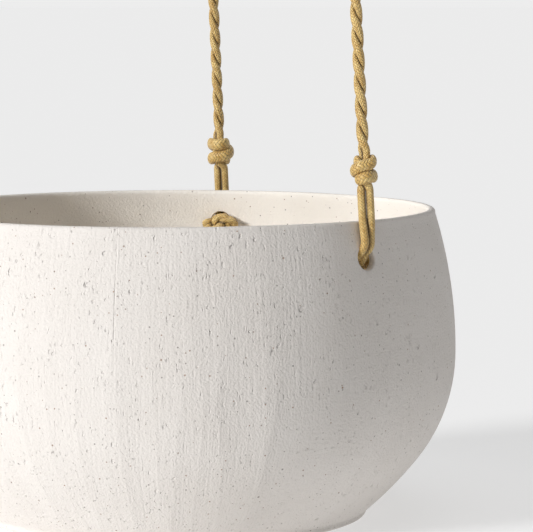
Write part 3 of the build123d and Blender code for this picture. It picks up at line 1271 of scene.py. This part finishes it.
@dataclass
class Knots:
    """The tight knots that the hangers share, laid once and pulled tight."""

    diameter: float = 2.7 * MM
    form: StopperForm = StopperForm()
    core: tuple = ((0.5, 0, 5.9), (0, 1.1, 2.2), (0, 1.1, -2.2), (-0.5, 0, -5.9))  # in diameters
    wrap: tuple = (2, 1.1, 2.4, 2.2, 5.9)  # turns and sizes of the strand round the core
    loop: tuple = (1, 1.85, 4.1, 2.6, 9.6)  # the same of the doubled strand of a stopper knot
    strands: list[np.ndarray] = field(default_factory=list)
    stopper: list[np.ndarray] = field(default_factory=list)

    def tie(self) -> None:
        """Ties the knot above a rope hole and the stopper knot inside the bowl."""
        tier = KnotTier()
        laid = [np.array(self.core), tier.lay(*self.wrap)]
        self.strands = [s * self.diameter for s in tier.tighten(laid, [False, True])]
        tier = KnotTier(press=0.003, stiffness=0.06, contact=0.83)
        loose = tier.lay(*self.loop)
        loose[[0, -1], :2] = 0
        self.stopper = [s * self.diameter for s in tier.tighten(tier.double(loose), [True, True])]


@dataclass
class Hanger:
    """One cord, doubled: stopped inside the bowl, knotted, twisted and knotted into an eye."""

    name: str
    knot_turn: float  # degrees that the knot above the hole is turned
    leg_turn: float  # degrees that the two legs below it are turned
    knot_size: tuple[float, float]  # across and along, against the knot as it was tied
    diameter: float = 2.7 * MM
    spacing: float = 2.8 * MM  # of two strands side by side
    twist_radius: float = 1.0 * MM
    pitch: float = 15.6 * MM  # along the rope, for one whole turn
    leg_start: float = 3.5 * MM
    knot_near: float = 5.2 * MM  # above a knot's middle, where its own form ends
    knot_far: float = 9.5 * MM  # and where the strands run as they do beyond it
    below_near: float = 2.8 * MM  # the same two, below its middle
    below_far: float = 6.4 * MM
    ring_step: float = 0.32 * MM
    leg_share: float = 0.6  # of the legs' length, over which they take up their turn
    twist_lead: float = 5 * MM  # over which the twist sets in
    closing: float = 4 * MM  # over which the strands close into the rope
    pressed: tuple = (1.02, 0.78)  # widths of a twisted strand, across and towards its partner
    tight: float = 0.89  # width of the cord in a knot
    rounded: float = 0.35  # of the diameter, length of a rounded end
    stopper_radius: float = 3.6 * MM
    eye_sink: float = 0.2 * MM  # how far the eye starts inside its knot
    eye_side: tuple = ((1.4, 0.0), (1.4, 3.0), (4.9, 9.5), (5.2, 21.5))  # in millimetres

    def __post_init__(self) -> None:
        """Reads the hanger's place from the frame."""
        joint = next(j for j in frame["joints"] if j["name"] == f"{self.name}_hanger_swing")
        mounts = {m["name"]: m for m in frame["record"]["mounts"]}
        self.up = unit(np.array(mounts[f"{self.name}_eye"]["axis"], float))
        self.bend = np.array(joint["pos_m"], float)
        across = np.array(joint["axis"], float)
        self.across = unit(across - self.up * (across @ self.up))
        self.axes = np.stack([self.across, np.cross(self.up, self.across), self.up])
        self.outward = unit(self.bend * (1 - UP))
        self.rim_knot = self._middle("rim_knot")
        self.eye_knot = self._middle("eye_knot")
        low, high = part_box(f"{self.name}_eye_knot")
        self.eye_base = self.eye_knot + (high[2] - low[2]) / 2 - self.eye_sink

    def _middle(self, part: str) -> float:
        """Gives the distance up the rope, from the bend, of the middle of one of its nodes."""
        low, high = (np.array(c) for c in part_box(f"{self.name}_{part}"))
        return float(((low + high) / 2 - self.bend) @ self.up)

    def world(self, local: np.ndarray) -> np.ndarray:
        """Turns points across, inward and up the rope into points of the frame."""
        return self.bend + local @ self.axes

    def angle(self, strand: Strand, run: np.ndarray) -> np.ndarray:
        """Works out where a strand lies round the rope, outside its knots.

        Args:
            strand: the strand.
            run: places up the rope.

        Returns:
            Its angle at each place, in radians.
        """
        turn, legs = math.radians(self.knot_turn), math.radians(self.leg_turn)
        below = self.rim_knot - self.below_far
        angle = legs * ease((run - self.leg_start)
                              / (self.leg_share * (below - self.leg_start)))
        angle = angle + (turn - legs) * ease((run - below) / (self.below_far - self.below_near))
        start = self.rim_knot + self.knot_near
        over = np.maximum(run - start, 0)
        lead = self.twist_lead
        twisted = np.where(over < lead, over**2 / (2 * lead), over - lead / 2)
        angle = angle - 2 * math.pi * twisted / self.pitch
        swapped = math.pi * (run < self.rim_knot)
        return angle + swapped + (math.pi if strand is Strand.WRAP else 0.0)

    def spread(self, run: np.ndarray) -> np.ndarray:
        """Gives the distance of the strands from the rope's axis, outside its knots."""
        twisted = ease((run - self.rim_knot - self.knot_near) / self.closing)
        opened = ease((run - self.eye_knot + self.below_far) / (self.below_far - self.below_near))
        half = self.spacing / 2
        return half + (self.twist_radius - half) * (twisted - opened)

    def eye_turn(self) -> float:
        """Gives the angle of the eye's knot, which follows from the twist below it."""
        place = np.array([self.eye_knot - self.below_near])
        return float(self.angle(Strand.CORE, place)[0]) - math.pi

    def eye_settled(self) -> float:
        """Gives the angle, in whole half turns, at which the core strand leaves that knot."""
        return round(self.eye_turn() / math.pi) * math.pi

    def beyond(self, strand: Strand, run: np.ndarray) -> np.ndarray:
        """Gives a strand's local points up the rope, outside its knots.

        Args:
            strand: the strand.
            run: places up the rope.

        Returns:
            Its points, across, inward and up.
        """
        angle = self.angle(strand, run)
        turn, settled = self.eye_turn(), self.eye_settled()
        above = turn + (settled - turn) * ease(
            (run - self.eye_knot - self.knot_near) / (self.knot_far - self.knot_near))
        above = above + (math.pi if strand is Strand.WRAP else 0.0)
        angle = np.where(run > self.eye_knot, above, angle)
        spread = self.spread(run)
        return np.stack([spread * np.cos(angle), spread * np.sin(angle), run], 1)

    def away(self, rise: np.ndarray) -> np.ndarray:
        """Tells how far places above or below a knot's middle are on the way out of the knot.

        Args:
            rise: their distances above its middle.

        Returns:
            0 where the knot's own form ends, 1 where the strands run as they do beyond it.
        """
        above = (rise - self.knot_near) / (self.knot_far - self.knot_near)
        below = (-rise - self.below_near) / (self.below_far - self.below_near)
        return np.where(rise > 0, above, below)

    def knot(self, knots: Knots, strand: Strand, middle: float, turn: float) -> np.ndarray:
        """Places one strand of the shared knot on the rope, from its bottom to its top.

        Args:
            knots: the shared knots.
            strand: the strand.
            middle: place of the knot's middle, up the rope.
            turn: angle of the knot round the rope, in radians.

        Returns:
            The strand's local points.
        """
        line = spaced(knots.strands[strand.value][::-1], self.ring_step)
        line = line * np.array([self.knot_size[0], *self.knot_size])
        cos, sin = math.cos(turn), math.sin(turn)
        turned = np.stack([line[:, 0] * cos - line[:, 1] * sin,
                           line[:, 0] * sin + line[:, 1] * cos, line[:, 2] + middle], 1)
        order = np.arange(len(line))
        away = self.away(line[:, 2])
        wander = np.where(away < 0)[0]
        outer = (order < wander[0]) | (order > wander[-1])
        keep = (away <= 1) | ~outer
        free = self.beyond(strand, turned[:, 2])
        share = np.where(outer, ease(away), 0.0)[:, None]
        return (turned * (1 - share) + free * share)[keep]

    def strand_line(self, knots: Knots, strand: Strand) -> tuple[np.ndarray, np.ndarray]:
        """Lays one strand from inside its hole up to the eye.

        Args:
            knots: the shared knots.
            strand: the strand.

        Returns:
            Its points in the frame, and how much of each knot's form applies at each point.
        """
        side = -1.0 if strand is Strand.CORE else 1.0
        route = route_points(self.route())
        climb = (route - self.bend) @ self.up
        reach = (route - self.bend) @ self.outward
        hole = route[(climb < self.leg_start) & (reach > -self.stopper_radius)]
        hole = spaced(hole, self.ring_step) + self.across * side * self.spacing / 2
        pieces, knotted = [hole], [np.zeros(len(hole))]

        def climb_to(start: float, end: float) -> None:
            """Adds the run between two places up the rope."""
            run = np.arange(start, end, self.ring_step)
            pieces.append(self.world(self.beyond(strand, run)))
            knotted.append(np.zeros(len(run)))

        def add_knot(middle: float, turn: float) -> None:
            """Adds a knot."""
            line = self.knot(knots, strand, middle, turn)
            pieces.append(self.world(line))
            knotted.append(1 - ease(2 * self.away(line[:, 2] - middle)))

        climb_to(self.leg_start + self.ring_step, self.rim_knot - self.below_far)
        add_knot(self.rim_knot, math.radians(self.knot_turn))
        climb_to(self.rim_knot + self.knot_far, self.eye_knot - self.below_far)
        add_knot(self.eye_knot, self.eye_turn())
        return np.concatenate(pieces), np.concatenate(knotted)

    def route(self) -> list[np.ndarray]:
        """Gives the route of the doubled cord from the stopper knot to the foot of the eye."""
        drop = self.bend[2] - self.hole_height()
        reach = np.linalg.norm(self.bend[:2]) - self.stopper_distance()
        stopper = self.bend - self.outward * reach - UP * drop
        near = np.linalg.norm(self.bend - stopper)
        return [stopper, self.bend, self.bend + self.up * near,
                self.bend + self.up * self.eye_base]

    def hole_height(self) -> float:
        """Gives the height of the middle of the rope hole."""
        low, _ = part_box(f"{self.name}_stopper_knot")
        return float(low[2]) + self.stopper_radius

    def stopper_distance(self) -> float:
        """Gives the distance of the stopper knot's middle from the bowl's axis."""
        mesh = frame["nodes"][f"{self.name}_stopper_knot"].data
        points = np.array([v.co for v in mesh.vertices])
        return float((points @ self.outward).min()) + self.stopper_radius

    def eye_line(self) -> np.ndarray:
        """Lays the eye's bight, from the core strand's side to the wrapping strand's."""
        side = 1.0 if math.cos(self.eye_settled()) > 0 else -1.0
        right = [(x * MM, rise * MM) for x, rise in self.eye_side]
        outline = right + [(-x, rise) for x, rise in reversed(right)]
        start = self.eye_knot + self.knot_far - self.eye_base
        control = [np.array([side * x, 0.0, self.eye_base + rise]) for x, rise in outline]
        line = route_points(list(self.world(np.array(control))))
        rise = (line - self.bend) @ self.up - self.eye_base
        return spaced(line[rise > start], self.ring_step)

    def cord_line(self, knots: Knots) -> tuple[np.ndarray, np.ndarray]:
        """Joins both strands and the eye into the cord's one unbroken line.

        Args:
            knots: the shared knots.

        Returns:
            Its points, and how much of each knot's form applies at each of them.
        """
        core, core_knotted = self.strand_line(knots, Strand.CORE)
        wrap, wrap_knotted = self.strand_line(knots, Strand.WRAP)
        eye = self.eye_line()
        line = np.concatenate([core, eye, wrap[::-1]])
        knotted = np.concatenate([core_knotted, np.zeros(len(eye)), wrap_knotted[::-1]])
        run = run_along(line)
        places = np.linspace(0, run[-1], int(run[-1] / self.ring_step) + 1)
        return softened(read_at(line, run, places), 6), np.interp(places, run, knotted)

    def sections(self, line: np.ndarray, knotted: np.ndarray) -> tuple:
        """Works out the two half widths of the strand at each ring, as it is squeezed there.

        Args:
            line: the strand's points.
            knotted: how much of a knot's form applies at each of them.

        Returns:
            The two half widths, as vectors.
        """
        across = carried(line, self.across)
        upright = np.cross(tangents(line), across)
        climb = (line - self.bend) @ self.up
        twisted = ease((climb - self.rim_knot - self.knot_near) / self.closing) * ease(
            (self.eye_knot - self.below_near - climb) / self.closing)
        away = line - self.bend - climb[:, None] * self.up
        away /= np.maximum(np.linalg.norm(away, axis=1), 1e-9)[:, None]
        wide, thin = self.pressed
        result = []
        for direction in (across, upright):
            out = (direction * away).sum(1)[:, None] * away
            flattened = (direction - out) * wide + out * thin
            rise = (direction @ self.up)[:, None] * self.up
            banded = (direction - rise) * self.knot_size[0] + rise * self.knot_size[1]
            mixed = direction + (flattened - direction) * twisted[:, None]
            mixed += (banded * self.tight - mixed) * knotted[:, None]
            result.append(mixed * self.diameter / 2)
        return tuple(result)

    def skin(self, name: str, line: np.ndarray, half: tuple, tree: NodeTree,
             material: Material) -> Object:
        """Lays the braided skin round a strand.

        Args:
            name: the new object's name.
            line: the strand's points.
            half: its two half widths at each point.
            tree: the tree that lays the skin.
            material: the cord's finish.

        Returns:
            The new object.
        """
        run = run_along(line)
        end = np.minimum(run, run[-1] - run) / (self.diameter * self.rounded)
        rounding = np.sqrt(np.maximum(1 - (1 - np.clip(end, 0, 1)) ** 2, 0))[:, None]
        piece = mesh_object(name, line)
        touching = touches(line, run, self.diameter)
        for label, values in (("across", half[0] * rounding), ("upright", half[1] * rounding),
                              ("touch_one", touching[0]), ("touch_two", touching[1])):
            attribute = piece.data.attributes.new(label, "FLOAT_VECTOR", "POINT")
            attribute.data.foreach_set("vector", values.astype(np.float32).ravel())
        attribute = piece.data.attributes.new("run", "FLOAT", "POINT")
        attribute.data.foreach_set("value", (run / (math.pi * self.diameter)).astype(np.float32))
        piece = grow(piece, tree, {"Material": material})
        point_outwards(piece.data)
        return piece

    def build(self, knots: Knots, tree: NodeTree, material: Material) -> list[Object]:
        """Builds the hanger and its stopper knot.

        Args:
            knots: the shared knots.
            tree: the tree that lays the braided skin.
            material: the cord's finish.

        Returns:
            The cord and the stopper knot.
        """
        line, knotted = self.cord_line(knots)
        cord = self.skin(f"{self.name}_cord", line, self.sections(line, knotted), tree, material)
        stopper = self.stopper(knots, tree, material)
        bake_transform(cord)
        nodes = ("left_leg", "right_leg", "rim_knot", "twisted_rope", "eye_knot", "eye_loop")
        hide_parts(*[f"{self.name}_{node}" for node in nodes])
        return [cord, stopper]

    def stopper(self, knots: Knots, tree: NodeTree, material: Material) -> Object:
        """Builds the stopper knot and its two short ends.

        Args:
            knots: the shared knots.
            tree: the tree that lays the braided skin.
            material: the cord's finish.

        Returns:
            The piece.
        """
        form = knots.form
        axes = np.stack([np.cross(UP, self.outward), UP, self.outward])
        centre = (self.outward * (self.stopper_distance() + form.press)
                  + UP * (self.hole_height() - form.drop))
        skins = []
        for index, strand in enumerate(knots.stopper):
            lane = self.spacing / 2 * (-1) ** index
            line, knotted = self._stopper_strand(form, strand, lane, self.bend[2] - centre[2])
            points = centre + line @ axes
            across = carried(points, axes[0])
            squeeze = 1 + (form.squeeze * np.array(form.spread) - 1) * knotted[:, None]
            half = tuple((direction @ axes.T) * squeeze @ axes * self.diameter / 2
                         for direction in (across, np.cross(tangents(points), across)))
            skins.append(self.skin(f"{self.name}_stopper_{index}", points, half, tree, material))
        piece = joined(skins, f"{self.name}_stopper")
        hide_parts(f"{self.name}_stopper_knot")
        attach(piece, "bowl_body")
        return piece

    def _stopper_strand(self, form: StopperForm, strand: np.ndarray, lane: float,
                        lift: float) -> tuple[np.ndarray, np.ndarray]:
        """Lays one strand of the stopper knot, from its end in the hole to its loose end.

        Args:
            form: the form of the knot.
            strand: the strand as it was tied.
            lane: how far sideways it lies in the hole.
            lift: how far above the knot's middle it lies there.

        Returns:
            Its points, sideways, up and outwards, and how much of the knot's form applies there.
        """
        line = spaced(strand * np.array(form.spread), self.ring_step)
        depth = line[:, 2]
        knotted = 1 - ease((np.abs(depth) - form.core) / form.fade)
        order, core = np.arange(len(line)), np.where(np.abs(depth) < form.core)[0]
        out, tail = order < core[0], order > core[-1]
        share = ease((depth - form.lane_start) / form.lane_run)[:, None] * out[:, None]
        straight = np.stack([np.full(len(line), lane), np.full(len(line), lift), depth], 1)
        line = line * (1 - share) + straight * share
        droop = np.maximum(-depth - form.droop_start, 0) * tail
        line[:, 0] += np.sign(lane) * form.droop_apart * droop
        line[:, 1] -= form.droop_down * droop
        line[:, 2] += form.droop_back * np.maximum(droop - form.droop_bend, 0)
        keep = ~(out & (depth >= form.stub)) & ~(tail & (depth <= -form.tail))
        return softened(line[keep], form.soft_passes), knotted[keep]


def joined(pieces: list[Object], name: str) -> Object:
    """Joins mesh objects into one.

    Args:
        pieces: the objects.
        name: the joined object's name.

    Returns:
        The joined object.
    """
    first, rest = pieces[0], pieces[1:]
    with bpy.context.temp_override(active_object=first, object=first,
                                   selected_editable_objects=[first, *rest]):
        bpy.ops.object.join()
    first.name = name
    first.data.name = name
    return first


def seen_rays(graph: Graph) -> NodeSocket:
    """Adds the nodes that tell whether a ray shows what it meets, and returns their output."""
    path = graph.add("ShaderNodeLightPath")
    mirrored = graph.math("MAXIMUM", path.outputs["Is Glossy Ray"],
                          path.outputs["Is Transmission Ray"])
    return graph.math("MAXIMUM", path.outputs["Is Camera Ray"], mirrored)


@dataclass
class Studio:
    """The floor, the light and the camera."""

    backdrop: tuple = tint(237, 237, 237)
    floor: tuple = tint(202, 202, 202)
    floor_glow: float = 0.46  # light that the floor gives off
    floor_seen: float = 0.47  # what it shows of this itself
    sun_strength: float = 2.85
    sun_softness: float = 14.0  # degrees
    sun_azimuth: float = -58.0  # degrees to the right of the camera's side of the bowl
    sun_height: float = 16.0  # degrees above the horizon
    sky: float = 0.08
    overhead_strength: float = 0.9
    overhead_softness: float = 60.0  # degrees
    camera_place: tuple = (0.0, -1.0354, 0.1843)
    camera_down: float = 5.273  # degrees
    camera_right: float = 1.843  # degrees
    focal_pixels: float = 2900.0
    frame_width: float = 533.0
    sensor: float = 36.0
    clips: tuple = (0.05, 200.0)
    floor_reach: float = 60.0

    def build(self) -> None:
        """Builds all of it."""
        scene = bpy.context.scene
        scene.view_settings.view_transform = "Standard"
        self._camera(scene)
        self._lamp("window light", self.sun_strength, self.sun_softness, self.sun_azimuth,
                   self.sun_height)
        self._lamp("overhead light", self.overhead_strength, self.overhead_softness, 0.0, 90.0)
        self._world(scene)
        self._floor()

    def _camera(self, scene: Scene) -> None:
        """Places the camera as the photograph's stood."""
        data = bpy.data.cameras.new("camera")
        data.sensor_fit = "HORIZONTAL"
        data.sensor_width = self.sensor
        data.lens = self.focal_pixels * self.sensor / self.frame_width
        data.clip_start, data.clip_end = self.clips
        camera = bpy.data.objects.new("camera", data)
        camera.location = self.camera_place
        camera.rotation_euler = (math.radians(90 - self.camera_down), 0,
                                 math.radians(-self.camera_right))
        scene.collection.objects.link(camera)
        scene.camera = camera

    def _lamp(self, name: str, strength: float, softness: float, azimuth: float,
              height: float) -> None:
        """Places a soft light.

        Args:
            name: the light's name.
            strength: its strength, in watts per square metre.
            softness: the angle that it fills, in degrees.
            azimuth: degrees to the right of the camera's side of the bowl.
            height: degrees above the horizon.
        """
        data = bpy.data.lights.new(name, "SUN")
        data.energy = strength
        data.angle = math.radians(softness)
        lamp = bpy.data.objects.new(name, data)
        turn, rise = math.radians(azimuth), math.radians(height)
        towards = Vector((math.sin(turn) * math.cos(rise), -math.cos(turn) * math.cos(rise),
                          math.sin(rise)))
        lamp.rotation_euler = towards.to_track_quat("Z", "Y").to_euler()
        lamp.location = towards * 2
        bpy.context.scene.collection.objects.link(lamp)

    def _world(self, scene: Scene) -> None:
        """Adds a little light from above, and the backdrop beyond the floor."""
        world = bpy.data.worlds.new("studio")
        world.use_nodes = True
        scene.world = world
        graph = Graph(world.node_tree)
        light = graph.tree.nodes["Background"]
        light.inputs["Color"].default_value = (1.0, 1.0, 1.0, 1.0)
        light.inputs["Strength"].default_value = self.sky
        shown = graph.add("ShaderNodeBackground", {"Color": self.backdrop, "Strength": 1.0})
        mix = graph.add("ShaderNodeMixShader", {0: seen_rays(graph), 1: light.outputs[0],
                                                2: shown.outputs[0]})
        graph.feed(graph.tree.nodes["World Output"].inputs["Surface"], mix.outputs[0])

    def _floor(self) -> None:
        """Lays the plain pale floor, which glows a little so that its shadows stay light."""
        corners = self.floor_reach * np.array([(-1, -1, 0), (1, -1, 0), (1, 1, 0), (-1, 1, 0)])
        floor = mesh_object("floor", corners, [(0, 1, 2, 3)])
        material, graph, shader = new_material("Pale floor")
        shader.inputs["Base Color"].default_value = self.floor
        shader.inputs["Roughness"].default_value = 1.0
        shader.inputs["Specular IOR Level"].default_value = 0.0
        shader.inputs["Emission Color"].default_value = (1.0, 1.0, 1.0, 1.0)
        glow = graph.math("MULTIPLY_ADD", seen_rays(graph), self.floor_seen - self.floor_glow,
                          self.floor_glow)
        graph.feed(shader.inputs["Emission Strength"], glow)
        floor.data.materials.append(material)


def main() -> None:
    """Builds the planter and its studio, in order."""
    logging.basicConfig(level=logging.INFO, format="%(name)s: %(message)s")
    Studio().build()
    parts = ShaderParts()
    tree = braid_tree()
    cord = CordFinish().material(parts)
    knots = Knots()
    knots.tie()
    log.info("knots are tied")
    hangers = [
        Hanger("front", knot_turn=-102.0, leg_turn=-42.0, knot_size=(0.98, 1.66)),
        Hanger("back", knot_turn=-48.0, leg_turn=0.0, knot_size=(1.1, 1.85)),
        Hanger("left", knot_turn=20.0, leg_turn=0.0, knot_size=(1.0, 1.7)),
    ]
    for hanger in hangers:
        for piece in hanger.build(knots, tree, cord):
            log.info("%s: %d faces", piece.name, len(piece.data.polygons))
    # The smoothed inside gets paler colours than the raw clay, partly as painted light for the light that bounces
    # round inside the bowl.
    finishes = (ClayFinish(Surface.RAW),
                ClayFinish(Surface.SMOOTHED, tint(252, 247, 240), tint(244, 237, 226)))
    clay = {finish.surface: finish.material(parts) for finish in finishes}
    directions = [math.atan2(h.outward[1], h.outward[0]) for h in hangers]
    bowl = Bowl(directions).build(clay)
    log.info("%s: %d faces", bowl.name, len(bowl.data.polygons))


if __name__ == "__main__":
    main()
